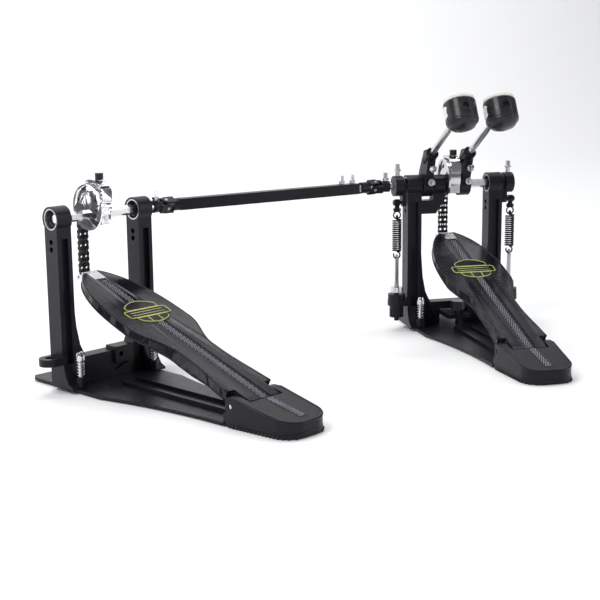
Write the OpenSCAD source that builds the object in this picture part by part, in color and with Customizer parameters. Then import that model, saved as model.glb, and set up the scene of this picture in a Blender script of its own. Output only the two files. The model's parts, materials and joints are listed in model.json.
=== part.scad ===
// Double bass drum pedal: a master pedal with two beaters, a slave pedal and
// the telescoping drive shaft that joins them. Millimetres, +Z up, +X along the
// master axle to the player's right, +Y from heel to hoop. The origin is on the
// floor under the middle of the master pedal's axle.

/* [Frame] */
// Height of both axles above the floor
axle_h = 185; // [172:1:222]
// Clear gap between a pedal's two posts
post_gap = 91; // [90:1:110]
// Thickness of a post across the axle
post_t = 18.5; // [16:0.5:22.5]
// Depth of a post from front to back
post_d = 21.5; // [18:0.5:26]
// Radius of a post's round head
post_head_r = 13.5; // [13:0.5:18]
// Height of the crossbar's middle above the floor
crossbar_top = 34; // [28:1:41]
// Thickness of the rubber soles
sole_t = 2; // [1.6:0.1:2.4]
// Thickness of the steel base plates
plate_t = 2.5; // [2:0.1:3]
// Distance from the middle of a post out to the side of the base plate
plate_margin = 2.25; // [1:0.25:6]
// Reach of a base plate in front of the axle
plate_front = 61; // [50:1:74]

/* [Footboard] */
// Distance from the axle back to the heel hinge, along the floor
hinge_back = 235; // [230:1:282]
// Height of the heel hinge pin
hinge_z = 21; // [20:0.5:24]
// Radius of the heel hinge pin
hinge_pin_r = 2.5; // [2:0.1:3]
// Slope of the footboard at rest
board_tilt = 19; // [16:0.5:20]
// Half width of the footboard at its shoulder
board_hw = 41; // [34:0.5:42]
// Half width of the footboard at its waist
waist_hw = 23.5; // [22:0.5:28]
// Half width of the footboard at the heel
heel_hw = 30; // [29:0.5:32]
// Thickness of the footboard's top and walls
board_wall = 3; // [2.4:0.1:3.6]
// Width of the inlaid tread strip
tread_w = 10; // [8:0.5:13]

/* [Drive] */
// Width across the flats of the hexagonal axles
hex_af = 9.5; // [7.8:0.1:10.6]
// Radius of the round axle journals in the bearings
journal_r = 4.4; // [3.6:0.1:5]
// Outside radius of the post bearings
bearing_r = 11.5; // [10.5:0.1:12]
// Width of the post bearings
bearing_w = 7; // [6:0.5:9]
// Radius of the surface on which the chain lies
cam_r = 20; // [17:0.5:20.5]
// Height of the cam's centre above the axle
cam_rise = 10; // [8:0.5:11]
// Chain pitch
pitch = 6.35; // [5.5:0.05:7]
// Full swing of the beaters
swing = 55; // [46:1:56]

/* [Beaters] */
// Radius of the beater shafts
shaft_r = 4; // [3.4:0.1:4.6]
// Distance from the clamp to the middle of the beater head
beater_reach = 121; // [100:1:146]
// Backward lean of the beaters at rest, from the vertical
beater_lean = 60; // [50:1:62]
// Radius of the beater heads
head_r = 19.5; // [16:0.5:22]
// Length of a beater head without its felt
head_len = 26; // [22:0.5:31]
// Thickness of the felt pad
felt_t = 8; // [6:0.5:11]

/* [Springs] */
// Distance of the springs outside their posts
spring_out = 13; // [12:0.5:16]
// Height of the spring's lower hook
spring_z = 95; // [90:1:100]
// Outside radius of the spring coils
coil_r = 6.2; // [5:0.1:7]
// Radius of the spring wire
wire_r = 0.9; // [0.7:0.05:1]

/* [Drive shaft] */
// Slave pedal's place to the left of the master pedal
slave_x = -464; // [-540:1:-440]
// Slave pedal's place behind the master pedal
slave_y = -156; // [-180:1:-130]
// Turn of the slave pedal towards the player
slave_yaw = 32.8; // [26:0.2:36]
// Distance of the drive shaft's pivot outside the slave pedal's post
slave_uj_out = 29; // [28:0.5:36]
// Distance of the drive shaft's pivot outside the master pedal's post
master_uj_out = 42; // [42:0.5:52]
// Width of the square drive tube
tube_w = 13; // [12:0.5:16]
// Width of the sliding inner rod
rod_w = 8; // [6.6:0.1:9.6]

/* [Hidden] */
$fn = 48;

// Clearances
run_gap = 0.06;     // running fit of pins and shafts
side_gap = 1.5;     // between parts that turn beside each other
slide_gap = 0.35;   // drive rod inside its tube

// Places shared by both pedals
plate_top = sole_t + plate_t;
post_in = post_gap / 2;
post_out = post_in + post_t;
post_mid = (post_in + post_out) / 2;
post_front = post_d / 2;
plate_hw = post_mid + plate_margin;
spring_x = post_out + spring_out;
slave_uj = post_out + slave_uj_out;
master_uj = post_out + master_uj_out;
post_foot_reach = 16;    // how far the foot flares behind the post
spur_x = post_in + 4.5;
spur_y = -22;
spur_r = 3;
spur_boss_r = 6;
spur_boss_h = 12;
lug_y = -6;
lug_z = [32, 40];
lug_r = 11.5;
lug_hole_r = 5;

// Footboard frame: u runs up the board's top face from above the heel
board_y0 = -hinge_back - 3;
board_z0 = hinge_z + 10;
board_len = (hinge_back + 22) / cos(board_tilt);
toe_plate_hw = 7.5;
toe_plate_l = 18;
toe_plate_t = 2;
toe_bracket = 9;
board_depth = 15;
tongue_hw = 20;
knuckle_hw = 22;
knuckle_r = 6;
waist_u = 92;
shoulder_u = 150;
nose_u = 160;
nose_reach = board_len + 4.2 - nose_u;

// Chain and cam
chain_x = -3.5;
chain_hw = 6.4;          // half width of the double chain
plate_hh = 2.6;          // half height of a chain plate
chain_gap = 5;           // from the cam's surface to the pins' centre line
pitch_r = cam_r + chain_gap;
cam_y = 1;
chain_y = cam_y + pitch_r;
cam_z = axle_h + cam_rise;
links = 13;
toe_z = cam_z - links * pitch + 1.5;
strand_len = cam_z - toe_z;
lead_len = 2 * pitch;
lead_arc = 2 * asin(lead_len / 2 / pitch_r);
wrap_arc = 72;
cam_left = chain_x - chain_hw - 2.7;
cam_right = chain_x + chain_hw + 0.5;
cam_screw_r = 2.5;
lining_t = 1.3;
saddle_r = cam_r + 2.5 + lining_t;

// Across the master axle, from left to right
hub_w = 13.5;
left_hub_x = -post_in + side_gap;
bracket_left = left_hub_x + hub_w + 2;
bracket_right = cam_left - side_gap;
right_hub_x = cam_right + side_gap + 1.2;
centre_bearing_r = 9.5;
centre_bearing_w = (bracket_right - bracket_left) / 2 - 0.5;
hanger_x = post_out + 2;
hanger_t = 5;
disc_w = 14;
disc_r = 13;

// Beater clamp, measured from the axle at rest
clamp_back = 16;
clamp_up = 37;
clamp_r = 8;
head_front = head_len * 0.44;   // from the shaft to the felt's seat
hub_r = 14.5;
bolt_rise = 21;          // clamp bolt's height above the axle

// Springs
pivot_y = lug_y;
pivot_z = axle_h - 20.5;
pivot_r = 2;
swivel_r = 4.5;
spring_top = pivot_z - 9;
hook_r = 4.6;
coil_turns = 20;
coil_bottom = spring_z + 7;
coil_top = spring_top - 12.6;

// Drive shaft between the two universal joints
slave_uj_p = [slave_x + slave_uj * cos(slave_yaw), slave_y + slave_uj * sin(slave_yaw)];
shaft_v = [-master_uj - slave_uj_p[0], -slave_uj_p[1]];
shaft_len = norm(shaft_v);
shaft_yaw = atan2(shaft_v[1], shaft_v[0]);
slave_bend = shaft_yaw - slave_yaw;
tube_start = 17;
tube_end = shaft_len - 27;
rod_start = shaft_len - 90;
uj_hub = 9.5;            // from the pivot to a yoke's hub
ear_in = 5.2;
ear_t = 2.8;
ear_r = 5;
trunnion_r = 1.8;

// Universal joint phases: each swing is centred on the even part of the joint
slave_phase = 90 - swing / 2;
shaft_half = atan(tan(swing / 2) / cos(slave_bend));
master_half = atan(tan(shaft_half) * cos(shaft_yaw));
master_phase = 90 - master_half;
function yoke_phase(p, bend) = atan2(cos(p), -sin(p) * cos(bend));
function cross_turn(p, bend) = atan(tan(bend) * cos(p));

// Half width of the footboard at u: heel, waist, shoulder, then a rounded nose
function ease(t) = t * t * (3 - 2 * t);
function board_half(u) =
    u < waist_u ? heel_hw + (waist_hw - heel_hw) * ease(min(1, u / (waist_u - 15)))
    : u < shoulder_u ? waist_hw + (board_hw - waist_hw) * ease((u - waist_u) / (shoulder_u - waist_u))
    : u < nose_u ? board_hw
    : board_hw * pow(1 - pow((u - nose_u) / nose_reach, 2.4), 0.625);

// Half width of the base plate behind the front pad: a hollow taper to the heel
taper_y = -62;
heel_plate_hw = 35;
function plate_half(y) =
    heel_plate_hw + (plate_hw - heel_plate_hw) * pow(1 - (taper_y - y) / (hinge_back + taper_y - 8), 2);

// Extrudes a (y, z) outline along x from x0 for w
module across(x0, w) {
    translate([x0, 0, 0]) rotate([90, 0, 90]) linear_extrude(w) children();
}

// Round bar along x
module bar_x(x0, x1, r) {
    translate([x0, 0, 0]) rotate([0, 90, 0]) cylinder(h = x1 - x0, r = r);
}

// Hexagonal bar along x, with flats of af
module hex_x(x0, x1, af) {
    translate([x0, 0, 0]) rotate([0, 90, 0]) cylinder(h = x1 - x0, r = af / 2 / cos(30), $fn = 6);
}

module at_axle() {
    translate([0, 0, axle_h]) children();
}

module on_slave() {
    translate([slave_x, slave_y, 0]) rotate([0, 0, slave_yaw]) children();
}

// Frame whose +X runs along the drive shaft from the slave's pivot
module on_shaft() {
    translate([slave_uj_p[0], slave_uj_p[1], axle_h]) rotate([0, 0, shaft_yaw]) children();
}

// Frame of the footboard's top face: x across, y up the board, z out of it
module on_board() {
    translate([0, board_y0, board_z0]) rotate([board_tilt, 0, 0]) children();
}

// ---------- Frame pieces, the same on both pedals ----------

module plate_outline(inset) {
    rear = -hinge_back + 8;
    steps = 10;
    side = [for (i = [0:steps]) let (y = taper_y + (rear - taper_y) * i / steps) [plate_half(y) - inset, y]];
    corner = [[plate_hw - 6 - inset, plate_front - inset], [plate_hw - inset, plate_front - 8 - inset]];
    right = concat(corner, side);
    left = [for (i = [len(right) - 1:-1:0]) [-right[i][0], right[i][1]]];
    polygon(concat(right, left));
}

module spur_places() {
    for (s = [-1, 1]) translate([s * spur_x, spur_y, 0]) children();
}

module base_plate() {
    rib_len = hinge_back - 55;
    rib_x = 10.5;
    color("#1b1b1e") difference() {
        union() {
            translate([0, 0, sole_t]) linear_extrude(plate_t) plate_outline(0);
            for (s = [-1, 1])
                translate([s * rib_x - 1.5, -hinge_back + 12, plate_top - 0.5]) cube([3, rib_len, 4.5]);
        }
        spur_places() translate([0, 0, -1]) cylinder(h = 20, r = spur_r + 1.5);
        // two screw holes on each side, behind the crossbar
        for (s = [-1, 1]) for (x = [21, 37]) translate([s * x, -35, -1]) cylinder(h = 20, r = 1.8);
    }
}

module sole() {
    color("#111113") difference() {
        union() {
            intersection() {
                linear_extrude(sole_t) plate_outline(2);
                translate([-100, -56, 0]) cube([200, 150, sole_t]);
            }
            intersection() {
                linear_extrude(sole_t) heel_outline(1);
                translate([-100, -hinge_back - 80, 0]) cube([200, 90, sole_t]);
            }
        }
        spur_places() translate([0, 0, -1]) cylinder(h = 20, r = spur_r + 1.5);
    }
}

heel_front = -hinge_back + 9;
heel_rear = -hinge_back - 76;
heel_block_hw = 33.5;

module heel_outline(inset) {
    corner = 22;
    tail = heel_block_hw - 4 - corner;
    hull() {
        translate([-heel_block_hw + inset, heel_front - 14])
            square([2 * (heel_block_hw - inset), 14 - inset]);
        for (s = [-1, 1]) translate([s * tail, heel_rear + corner]) circle(r = corner - inset, $fn = 64);
    }
}

module heel_block() {
    ear_top = hinge_z + 8.5;
    ear_back = -hinge_back - 16;
    color("#232227") difference() {
        intersection() {
            translate([0, 0, sole_t]) linear_extrude(ear_top) heel_outline(0);
            across(-heel_block_hw - 1, 2 * heel_block_hw + 2) polygon([
                [heel_front + 1, 0], [heel_front + 1, 13], [-hinge_back + 6, 13], [-hinge_back + 6, ear_top],
                [-hinge_back - 4, ear_top], [heel_rear, sole_t + 14], [heel_rear - 1, 0]
            ]);
        }
        // pocket between the ears for the footboard's knuckle and tongue
        translate([0, -hinge_back, 0]) across(-knuckle_hw - 0.5, 2 * knuckle_hw + 1)
            polygon([[-19, hinge_z + 10], [-12, hinge_z - 8], [20, hinge_z - 8], [20, hinge_z + 10]]);
        translate([0, -hinge_back, hinge_z]) bar_x(-heel_block_hw - 1, heel_block_hw + 1, hinge_pin_r);
        // slot where the rear of the base plate enters
        translate([0, 0, sole_t - 0.01]) linear_extrude(plate_t + 0.01) plate_outline(-0.01);
        // shallow channel for the heel's end of the tread
        translate([0, ear_back, ear_top + 0.2]) rotate([atan((ear_top - sole_t - 14) / 72), 0, 0])
            translate([-tread_w / 2, -80, -2.2]) cube([tread_w, 90, 4]);
    }
}

module heel_pin() {
    half = heel_block_hw - 1;
    color("silver") translate([0, -hinge_back, hinge_z]) bar_x(-half, half, hinge_pin_r);
}

module post_outline() {
    translate([0, axle_h]) circle(r = post_head_r);
    translate([-post_front, plate_top]) square([post_d, axle_h - plate_top]);
    polygon([
        [-post_front, plate_top], [-post_front, 44], [-post_front - 1.5, 28], [-post_front - 4.5, 17],
        [-post_front - 9, 10], [-post_front - post_foot_reach, plate_top + 2.5],
        [-post_front - post_foot_reach, plate_top]
    ]);
}

module post() {
    // right-hand post; the left one is its mirror image
    channel_w = 9;
    difference() {
        union() {
            across(post_in, post_t) post_outline();
            translate([spur_x, spur_y, plate_top]) cylinder(h = spur_boss_h, r = spur_boss_r);
            translate([spring_x, lug_y, lug_z[0]]) cylinder(h = lug_z[1] - lug_z[0], r = lug_r);
            translate([post_out - 1, lug_y - lug_r, lug_z[0]])
                cube([spring_x - post_out + 1, 2 * lug_r, lug_z[1] - lug_z[0]]);
        }
        at_axle() bar_x(post_in - 20, post_out + 20, bearing_r);
        translate([post_mid - channel_w / 2, -post_front - 60, 30])
            cube([channel_w, 65, axle_h - 30 - post_head_r - 7]);
        translate([spur_x, spur_y, 0]) cylinder(h = 60, r = spur_r + run_gap);
        translate([spring_x, lug_y, 0]) cylinder(h = 60, r = lug_hole_r);
        for (z = [-24, -32]) translate([0, 0, axle_h + z]) bar_x(post_in - 5, post_out + 5, 2.9);
    }
}

module posts() {
    color("#1c1b20") {
        post();
        mirror([1, 0, 0]) post();
    }
}

module crossbar(with_block) {
    depth = post_d - 4;
    block = [5, crossbar_top - 15, 25, 19];   // left, bottom, width and height
    pocket_top = block[1] - 1.5;
    color("#19181c") difference() {
        union() {
            translate([0, depth / 2, 0]) rotate([90, 0, 0]) linear_extrude(depth) polygon([
                [-post_in, plate_top], [-post_in, crossbar_top + 74], [-post_in + 3, crossbar_top + 34],
                [-post_in + 7, crossbar_top + 14], [-post_in + 13.5, crossbar_top],
                [post_in - 13.5, crossbar_top], [post_in - 7, crossbar_top + 14],
                [post_in - 3, crossbar_top + 34], [post_in, crossbar_top + 74], [post_in, plate_top]
            ]);
            if (with_block) translate([block[0], -depth / 2 - 4, block[1]]) cube([block[2], depth, block[3]]);
        }
        if (with_block) {
            // blind bore in the block, and the small triangular pocket under it
            translate([block[0] + 8, 0, block[1] + 10]) rotate([90, 0, 0]) cylinder(h = 30, r = 2.6);
            translate([0, -depth / 2 + 3, 0]) rotate([90, 0, 0]) linear_extrude(20)
                translate([block[0] + 2, pocket_top]) polygon([[0, -6.5], [18, 0], [0, 0]]);
        } else {
            // hollow underside over the clamp, and triangular pockets in the rear face
            translate([-19, -depth, 0]) cube([38, 3 * depth, crossbar_top - 10]);
            for (s = [-1, 1]) translate([0, -depth / 2 + 3, 0]) rotate([90, 0, 0]) linear_extrude(20) polygon([
                [s * 23, plate_top + 6], [s * (post_in - 4), plate_top + 6],
                [s * (post_in - 4), crossbar_top + 8]
            ]);
        }
    }
}

module bearing(x0, w, r, sleeve = 0) {
    // outer race with its sleeve, then inner race, with the ball space between them
    race_t = 1.6;
    at_axle() difference() {
        bar_x(x0 - sleeve, x0 + w + sleeve, r);
        bar_x(x0 - sleeve - 1, x0 + w + sleeve + 1, r - race_t);
    }
    at_axle() difference() {
        bar_x(x0, x0 + w, journal_r + 2.2);
        bar_x(x0 - 1, x0 + w + 1, journal_r + run_gap);
    }
    at_axle() difference() {
        bar_x(x0 + 0.8, x0 + w - 0.8, r - race_t);
        bar_x(x0 - 1, x0 + w + 1, journal_r + 2.2);
    }
}

module bearing_pair() {
    sleeve = (post_t - bearing_w) / 2 - 0.4;
    for (s = [-1, 1]) bearing(s * post_mid - bearing_w / 2, bearing_w, bearing_r, sleeve);
}

module spurs() {
    tip = 5;
    color("silver") spur_places() {
        translate([0, 0, sole_t + tip]) cylinder(h = 31, r = spur_r);
        translate([0, 0, sole_t]) cylinder(h = tip, r1 = 0.6, r2 = spur_r);
        translate([0, 0, sole_t + tip + 28]) cylinder(h = 5, r = 5.4);
        translate([0, 0, sole_t + tip + 33]) cylinder(h = 4, r1 = 4.6, r2 = 3.4);
    }
}

// ---------- Footboard ----------

module board_outline(inset, u0, u1, steps) {
    us = [for (i = [0:steps]) u0 + (u1 - u0) * i / steps];
    right = [for (u = us) [board_half(u) - inset, u]];
    left = [for (i = [steps:-1:0]) [-right[i][0], us[i]]];
    polygon(concat(right, left));
}

module footboard() {
    rear_u = 10.5;
    waist_mid = 78;
    color("#26252b") difference() {
        union() {
            on_board() difference() {
                translate([0, 0, -board_depth]) linear_extrude(board_depth)
                    board_outline(0, rear_u, board_len, 44);
                translate([0, 0, -board_depth - 1]) linear_extrude(board_depth + 1 - board_wall)
                    board_outline(board_wall, rear_u + 6, board_len - 6, 40);
                // the skirt is shallower away from the waist
                across(-60, 120) polygon([
                    [-10, -board_depth - 5], [-10, -10.5],
                    [waist_mid - 40, -11], [waist_mid - 12, -board_depth],
                    [waist_mid + 12, -board_depth], [waist_mid + 55, -11], [board_len + 9, -10],
                    [board_len + 9, -board_depth - 5]
                ]);
            }
            // tongue over the heel, and the cross ribs under the board
            on_board() translate([-tongue_hw, -12.5, -4.2]) cube([2 * tongue_hw, 30, 4.2]);
            on_board() for (u = [60, 120, 180, 225]) translate([-18, u, -9]) cube([36, 3, 7]);
            translate([0, -hinge_back, hinge_z]) bar_x(-knuckle_hw, knuckle_hw, knuckle_r);
            on_board() translate([-knuckle_hw, 2, -9]) cube([2 * knuckle_hw, 16, 7]);
        }
        translate([0, -hinge_back, hinge_z]) bar_x(-60, 60, hinge_pin_r + run_gap);
        on_board() translate([-tread_w / 2, -20, -1.2]) cube([tread_w, board_len + 9, 5]);
        on_board() translate([tread_w / 2 + 1.5, -20, -1]) cube([1.5, board_len - 3, 5]);
        on_board() translate([-toe_plate_hw, board_len - toe_plate_l, -toe_plate_t])
            cube([2 * toe_plate_hw, toe_plate_l + 9, 9]);
        // clear of the toe plate's chain bracket
        translate([chain_x - chain_hw - 4, chain_y - toe_bracket, toe_z - 6])
            cube([2 * chain_hw + 8, 40, 30]);
    }
}

module tread() {
    color("#8b8794") on_board()
        translate([-tread_w / 2, -12.3, -1.2]) cube([tread_w, board_len + 12 - toe_plate_l, 1]);
}

module toe_plate() {
    ear_gap = chain_hw + 0.6;
    ear_w = 2;
    half = ear_gap + ear_w;
    color("silver") {
        // top plate let into the board, then a bracket down to the chain's pin
        on_board() translate([-toe_plate_hw, board_len - toe_plate_l, -toe_plate_t])
            cube([2 * toe_plate_hw, toe_plate_l + 1.5, toe_plate_t]);
        translate([chain_x - half, chain_y - toe_bracket, toe_z - 3]) cube([2 * half, 2, 9]);
        for (s = [-1, 1]) across(chain_x + s * (ear_gap + ear_w / 2) - ear_w / 2, ear_w) {
            translate([chain_y, toe_z]) circle(r = 3.4);
            translate([chain_y - toe_bracket, toe_z - 3]) square([toe_bracket, 6.2]);
        }
        translate([chain_x, chain_y, toe_z]) bar_x(-half - 1.2, half + 1.2, 1.5);
    }
}

// ---------- Chain ----------

// Roller, with its pin, across one strand pair
module rollers() {
    rotate([0, 90, 0]) cylinder(h = 2 * chain_hw - 2, r = 1.7, center = true);
}

layer_t = 0.8;
inner_layers = [-5.2, -1.9, 1.1, 4.4];
outer_layers = [-6.3, 5.5];

module strand_outline(n) {
    for (i = [0:n]) translate([0, i * pitch]) circle(r = plate_hh, $fn = 24);
    translate([-1.7, 0]) square([3.4, n * pitch]);
}

module chain() {
    n = links;
    color("#2a2a2c") translate([chain_x, chain_y, toe_z]) difference() {
        union() {
            for (x0 = inner_layers) across(x0, layer_t) strand_outline(n);
            for (i = [0:n]) translate([0, 0, i * strand_len / n]) rollers();
        }
        bar_x(-20, 20, 1.5 + run_gap);
    }
}

module chain_lead() {
    color("#2a2a2c") translate([chain_x, chain_y, cam_z]) rotate([lead_arc / 2, 0, 0]) {
        for (x0 = outer_layers) across(x0, layer_t) strand_outline(2);
        translate([0, 0, pitch]) bar_x(-6, 6, 1.7);
    }
}

module chain_wrap() {
    n = floor((wrap_arc - lead_arc) / (lead_arc / 2));
    step = lead_arc / 2;
    color("#2a2a2c") translate([0, cam_y, cam_z]) {
        for (x0 = inner_layers) translate([chain_x + x0, 0, 0]) rotate([lead_arc, 0, 0]) rotate([90, 0, 90])
            rotate_extrude(angle = n * step, $fn = 96)
                translate([pitch_r - plate_hh + 0.5, 0]) square([2 * plate_hh - 1, layer_t]);
        for (i = [0:n]) rotate([lead_arc + i * step, 0, 0]) translate([chain_x, pitch_r, 0]) rollers();
    }
    // lining under the saddle, open for the cam's screw
    color("#2a2a2c") difference() {
        cam_sector(cam_left + 3.4, cam_right, saddle_r - lining_t, saddle_r - 0.05, 74, 112);
        translate([chain_x + 1, cam_y - 7, cam_z]) cylinder(h = 2 * cam_r, r = cam_screw_r + 0.2);
    }
}

// ---------- Cam and axles ----------

// Sector of a ring about the cam's centre, between two radii and two angles above +y
module cam_sector(x0, x1, r0, r1, a0, a1) {
    translate([x0, cam_y, cam_z]) rotate([a0, 0, 0]) rotate([90, 0, 90])
        rotate_extrude(angle = a1 - a0, $fn = 96) translate([r0, 0]) square([r1 - r0, x1 - x0]);
}

module cam() {
    flange = 2.2;
    flange_r = cam_r + 5;
    flange_y = cam_y + 2.8;
    flange_z = cam_z - 2.5;
    block_left = cam_left + flange + 1;
    color("silver") difference() {
        union() {
            translate([0, cam_y, cam_z]) bar_x(cam_left + flange, cam_right, cam_r);
            translate([0, flange_y, flange_z]) bar_x(cam_left, cam_left + flange, flange_r);
            at_axle() bar_x(cam_left, cam_right + 1.2, 9);
            // seat under the lining, then the saddle over the chain's end
            cam_sector(block_left, cam_right, cam_r - 2, cam_r + 2.4, 84, 130);
            cam_sector(block_left, cam_right, saddle_r, saddle_r + 3.6, 66, 130);
            // clamp block down the back
            across(block_left, cam_right - block_left) polygon([
                [cam_y - 6, axle_h - 10], [cam_y - 17, axle_h - 10], [cam_y - 17, cam_z + 4],
                [cam_y - 20.5, cam_z + 5], [cam_y - 20.5, cam_z + 15], [cam_y - 18.5, cam_z + 19],
                [cam_y - 10, cam_z + 21], [cam_y - 10, cam_z]
            ]);
        }
        at_axle() hex_x(cam_left - 1, cam_right + 3, hex_af);
        // curved windows through the wheel
        cam_sector(cam_left - 1, cam_right + 4, cam_r - 9, cam_r - 4, 25, 100);
        cam_sector(cam_left - 1, cam_right + 4, cam_r - 9, cam_r - 4, 150, 205);
        // wider openings in the side flange
        cam_sector(cam_left - 1, cam_left + flange, cam_r - 8, cam_r + 1, 2, 80);
        translate([chain_x + 1, cam_y - 7, cam_z + cam_r - 8]) cylinder(h = 20, r = cam_screw_r);
        translate([chain_x + 1, cam_y - 12, axle_h - 3]) rotate([90, 0, 0]) cylinder(h = 9, r = 2.6);
    }
}

module cam_screw() {
    translate([chain_x + 1, cam_y - 7, cam_z + cam_r - 8]) cylinder(h = 15, r = cam_screw_r);
    translate([chain_x + 1, cam_y - 7, cam_z + cam_r + 7.4]) cylinder(h = 7, r = 4.5);
    translate([chain_x + 1, cam_y - 12, axle_h - 3]) rotate([90, 0, 0]) cylinder(h = 5.6, r = 2.6);
}

module master_axle() {
    color("silver") at_axle() {
        bar_x(bracket_left + centre_bearing_w + 1, cam_left, journal_r);
        hex_x(cam_left, post_mid - bearing_w / 2 - 1, hex_af);
        bar_x(post_mid - bearing_w / 2 - 1, hanger_x + disc_w + 1, journal_r);
    }
}

module left_axle() {
    color("silver") at_axle() {
        bar_x(left_hub_x + hub_w, bracket_left + centre_bearing_w, journal_r);
        hex_x(left_hub_x - 0.5, left_hub_x + hub_w, hex_af);
        bar_x(-master_uj + uj_hub + 2, left_hub_x - 0.5, journal_r);
        translate([-master_uj, 0, 0]) yoke(master_phase, 20);
    }
}

module slave_axle() {
    color("silver") at_axle() {
        bar_x(-post_mid - bearing_w / 2, -post_mid + bearing_w / 2 + 1, journal_r);
        hex_x(-post_mid + bearing_w / 2 + 1, post_mid - bearing_w / 2 - 1, hex_af);
        bar_x(post_mid - bearing_w / 2 - 1, slave_uj - uj_hub - 2, journal_r);
        translate([slave_uj, 0, 0]) mirror([1, 0, 0]) yoke(slave_phase, 18);
    }
}

// Yoke with its pivot at the origin and its hub towards +x for len
module yoke(phase, len) {
    rotate([-phase, 0, 0]) {
        bar_x(uj_hub, len, 7);
        for (s = [-1, 1]) difference() {
            union() {
                translate([0, -ear_r, s > 0 ? ear_in : -ear_in - ear_t]) cube([uj_hub + 1, 2 * ear_r, ear_t]);
                translate([0, 0, s > 0 ? ear_in : -ear_in - ear_t]) cylinder(h = ear_t, r = ear_r);
            }
            translate([0, 0, -20]) cylinder(h = 40, r = trunnion_r + run_gap);
        }
    }
}

module cross_piece(phase, bend) {
    reach = ear_in + ear_t;
    color("silver") rotate([-phase, 0, 0]) rotate([0, 0, cross_turn(phase, bend)]) {
        translate([-3, -3, -3]) cube([6, 6, 6]);
        translate([0, 0, -reach]) cylinder(h = 2 * reach, r = trunnion_r);
        rotate([90, 0, 0]) translate([0, 0, -reach]) cylinder(h = 2 * reach, r = trunnion_r);
    }
}

module key_bolt(len) {
    // square-headed drum key bolt standing along +z
    cylinder(h = len, r = 2.9);
    translate([0, 0, len]) cylinder(h = 2.5, r = 4.4);
    translate([-2.4, -2.4, len + 2.5]) cube([4.8, 4.8, 6.5]);
}

// ---------- Beater hubs, beaters ----------

module hub(x0) {
    mid = x0 + hub_w / 2;
    color("#17171a") difference() {
        union() {
            at_axle() bar_x(x0, x0 + hub_w, hub_r);
            across(x0 + 1.5, hub_w - 3) polygon([
                [hub_r - 1, axle_h + 4], [10, axle_h + 17], [-clamp_back + 9, axle_h + clamp_up + 7],
                [-clamp_back + 3, axle_h + clamp_up + 9], [-clamp_back - 8, axle_h + clamp_up - 2],
                [1 - hub_r, axle_h + 3]
            ]);
            on_beater(x0) translate([0, 0, -9]) cylinder(h = 20, r = clamp_r);
        }
        at_axle() hex_x(x0 - 1, x0 + hub_w + 1, hex_af);
        on_beater(x0) translate([0, 0, -25]) cylinder(h = 60, r = shaft_r + run_gap);
        // saw cut that lets the clamp close
        on_beater(x0) translate([-0.8, 0, -26]) cube([1.6, 20, 60]);
    }
}

// Frame of a beater shaft: origin in the clamp, z towards the head
module on_beater(x0) {
    translate([x0 + hub_w / 2, -clamp_back, axle_h + clamp_up]) rotate([beater_lean, 0, 0]) children();
}

module beater_shaft(x0) {
    color("silver") on_beater(x0) translate([0, 0, -14]) cylinder(h = beater_reach + 14 + 12, r = shaft_r);
}

// Frame of a beater head: origin at its middle, z towards the drum
module on_head(x0) {
    on_beater(x0) translate([0, 0, beater_reach]) rotate([-90, 0, 0]) children();
}

module beater_head(x0) {
    back = head_len - head_front;
    color("#141416") difference() {
        on_head(x0) rotate_extrude() polygon([
            [0, -back - 8], [head_r * 0.4, -back - 7.2], [head_r * 0.73, -back - 4.8], [head_r * 0.93, -back],
            [head_r - 1, -back], [head_r - 1, -back + 1.5], [head_r, -back + 2.5],
            [head_r, head_front - 1], [head_r - 1, head_front], [0, head_front]
        ]);
        on_beater(x0) cylinder(h = beater_reach + 2 * head_r, r = shaft_r);
    }
}

module beater_felt(x0) {
    color("#e8e6df") on_head(x0) translate([0, 0, head_front]) rotate_extrude()
        polygon([
            [0, 0], [head_r - 0.5, 0], [head_r - 0.5, felt_t - 3.5],
            [head_r - 2.5, felt_t - 1], [head_r - 7, felt_t], [0, felt_t]
        ]);
}

// ---------- Return springs ----------

module hanger() {
    // right-hand hanger; the left one is its mirror image
    difference() {
        union() {
            at_axle() bar_x(hanger_x + hanger_t - 2, hanger_x + disc_w, disc_r);
            across(hanger_x, hanger_t) union() {
                translate([0, axle_h]) circle(r = 9);
                translate([pivot_y, pivot_z]) circle(r = 5);
                polygon([
                    [8.5, axle_h], [pivot_y + 4.7, pivot_z - 1.5],
                    [pivot_y - 4.7, pivot_z + 1.5], [-8.5, axle_h]
                ]);
            }
            translate([0, pivot_y, pivot_z]) bar_x(hanger_x, spring_x + 3, pivot_r);
            translate([0, pivot_y, pivot_z]) bar_x(spring_x + 3.2, spring_x + 4.8, pivot_r + 1.5);
            translate([0, pivot_y, pivot_z]) bar_x(spring_x, spring_x + 4, pivot_r);
        }
        at_axle() bar_x(hanger_x - 1, hanger_x + disc_w + 2, journal_r);
    }
}

module swivel() {
    // eye on the hanger's pin, a shank and the loop above the spring
    difference() {
        union() {
            translate([0, pivot_y, pivot_z]) bar_x(spring_x - 2.8, spring_x + 2.8, swivel_r);
            translate([spring_x, pivot_y, spring_top]) cylinder(h = 6, r = 3);
            translate([spring_x, pivot_y, spring_top - 2]) cylinder(h = 4, r = 4.8);
            // wire loop that takes the top of the spring
            translate([spring_x, pivot_y, spring_top - 1.2 - hook_r - wire_r]) rotate([90, 0, 0])
                rotate_extrude() translate([hook_r, 0]) circle(r = wire_r, $fn = 16);
        }
        translate([0, pivot_y, pivot_z]) bar_x(spring_x - 10, spring_x + 10, pivot_r + run_gap);
    }
}

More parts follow.
